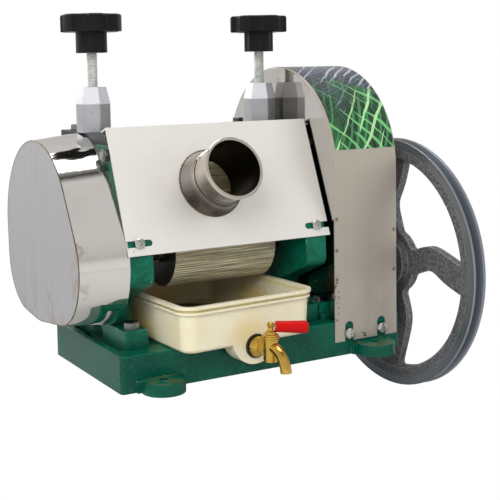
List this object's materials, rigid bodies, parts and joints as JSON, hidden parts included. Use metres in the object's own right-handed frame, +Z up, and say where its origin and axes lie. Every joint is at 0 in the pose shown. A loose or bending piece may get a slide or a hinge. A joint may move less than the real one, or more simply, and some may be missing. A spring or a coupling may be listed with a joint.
{
  "type": "manual sugarcane juicer",
  "caption": "Hand cranked sugarcane juicer: ribbed rollers between cast cheeks, slanted feed tube, sheet gear covers, spoked flywheel, two pressure screws and a juice tray with a tap.",
  "frame": {"origin": "middle of the base casting's underside, centre of the four bolting lugs", "axes": "+X along the rollers to the flywheel side, -Y the feeding side, +Z up"},
  "size_m": [0.533, 0.3735, 0.4798],
  "materials": {
    "green_hammered_paint": "hammered",
    "stainless_sheet": "brushed",
    "aged_stainless_sheet": "aged brushed",
    "zinc_plated_steel": "zinc plated",
    "machined_steel": "machined",
    "roller_iron": "ribbed, worn",
    "gear_iron": "oiled",
    "sand_cast_iron": "sand cast",
    "black_steel": "black oxide",
    "black_plastic": "moulded",
    "black_rubber": "matte",
    "bronze": "turned",
    "polished_brass": "polished",
    "ivory_plastic": "semi gloss",
    "red_sleeve": "glossy",
    "printed_film": "printed",
    "varnished_wood": "varnished"
  },
  "bodies": {
    "frame": {"base_casting": "green_hammered_paint", "cheek_left": "green_hammered_paint", "cheek_right": "green_hammered_paint", "bearing_caps": "black_steel", "drive_bearing_housing": "green_hammered_paint", "screw_tower_left": "zinc_plated_steel", "screw_tower_right": "zinc_plated_steel", "lower_roller_bushes": "bronze", "drive_bushes": "bronze", "front_shield": "stainless_sheet", "feed_collar": "stainless_sheet", "feed_tube": "stainless_sheet", "drive_cover_band": "aged_stainless_sheet", "drive_cover_inner_side": "aged_stainless_sheet", "drive_cover_outer_side": "aged_stainless_sheet", "cover_label": "printed_film", "panel_screws": "zinc_plated_steel", "cover_spacers": "zinc_plated_steel", "roller_gear_cover": "stainless_sheet", "tie_rods": "zinc_plated_steel", "tie_rod_nuts": "zinc_plated_steel", "cheek_bolts": "zinc_plated_steel", "housing_bolts": "zinc_plated_steel", "cap_bolts": "zinc_plated_steel", "cane_guide_bar": "machined_steel", "rear_discharge_plate": "stainless_sheet"},
    "flywheel": {"flywheel": "sand_cast_iron", "flywheel_shaft": "machined_steel", "shaft_collar": "machined_steel", "drive_pinion": "gear_iron", "flywheel_nut_and_washer": "zinc_plated_steel", "crank_stud": "zinc_plated_steel"},
    "crank_grip": {"crank_grip": "varnished_wood"},
    "carriage": {"bearing_blocks": "gear_iron", "thrust_pads": "machined_steel", "top_roller_bushes": "bronze"},
    "top_roller": {"top_roller": "roller_iron", "top_roller_shaft": "machined_steel", "top_roller_gear": "gear_iron", "bull_gear": "gear_iron", "top_shaft_nuts": "zinc_plated_steel"},
    "front_roller": {"front_roller": "roller_iron", "front_roller_shaft": "machined_steel", "front_roller_gear": "gear_iron", "front_shaft_nut": "zinc_plated_steel"},
    "rear_roller": {"rear_roller": "roller_iron", "rear_roller_shaft": "machined_steel", "rear_roller_gear": "gear_iron", "rear_shaft_nut": "zinc_plated_steel"},
    "pressure_screw_left": {"pressure_screw_left": "zinc_plated_steel", "star_knob_left": "black_plastic"},
    "pressure_screw_right": {"pressure_screw_right": "zinc_plated_steel", "star_knob_right": "black_plastic"},
    "juice_tray": {"juice_tray": "ivory_plastic", "tap_gasket": "black_rubber", "tap_body": "polished_brass", "tap_back_nut": "polished_brass"},
    "tap_lever": {"tap_plug": "polished_brass", "tap_lever": "polished_brass", "lever_sleeve": "red_sleeve"}
  },
  "joints": [
    {"name": "flywheel_turn", "type": "hinge", "parent": "frame", "child": "flywheel", "pos_m": [0.2, -0.0535, 0.0982], "axis": [1, 0, 0], "continuous": true},
    {"name": "crank_grip_spin", "type": "hinge", "parent": "flywheel", "child": "crank_grip", "pos_m": [0.26, 0.066, 0.0982], "axis": [1, 0, 0], "continuous": true},
    {"name": "top_roller_lift", "type": "slide", "parent": "frame", "child": "carriage", "axis": [0, 0, 1], "range_m": [0, 0.003]},
    {"name": "top_roller_turn", "type": "hinge", "parent": "carriage", "child": "top_roller", "pos_m": [0, 0.03, 0.2179], "axis": [1, 0, 0], "continuous": true},
    {"name": "front_roller_turn", "type": "hinge", "parent": "frame", "child": "front_roller", "pos_m": [0, -0.022, 0.142], "axis": [1, 0, 0], "continuous": true},
    {"name": "rear_roller_turn", "type": "hinge", "parent": "frame", "child": "rear_roller", "pos_m": [0, 0.082, 0.142], "axis": [1, 0, 0], "continuous": true},
    {"name": "left_screw_turn", "type": "hinge", "parent": "carriage", "child": "pressure_screw_left", "pos_m": [-0.1615, 0.03, 0.3], "axis": [0, 0, 1], "range_deg": [0, 618]},
    {"name": "right_screw_turn", "type": "hinge", "parent": "carriage", "child": "pressure_screw_right", "pos_m": [0.0685, 0.03, 0.3], "axis": [0, 0, 1], "range_deg": [0, 618]},
    {"name": "tray_pull", "type": "slide", "parent": "frame", "child": "juice_tray", "axis": [0.0523, -0.9986, 0], "range_m": [0, 0.2]},
    {"name": "tap_turn", "type": "hinge", "parent": "juice_tray", "child": "tap_lever", "pos_m": [-0.03635, -0.15854, 0.06], "axis": [0, 0, -1], "range_deg": [0, 90]}
  ],
  "couplings": [
    {"joint": "top_roller_turn", "follows": "flywheel_turn", "ratio": -0.37736},
    {"joint": "front_roller_turn", "follows": "flywheel_turn", "ratio": 0.37736},
    {"joint": "rear_roller_turn", "follows": "flywheel_turn", "ratio": 0.37736},
    {"joint": "left_screw_turn", "follows": "top_roller_lift", "rad_per_m": 3590.4},
    {"joint": "right_screw_turn", "follows": "top_roller_lift", "rad_per_m": 3590.4}
  ]
}
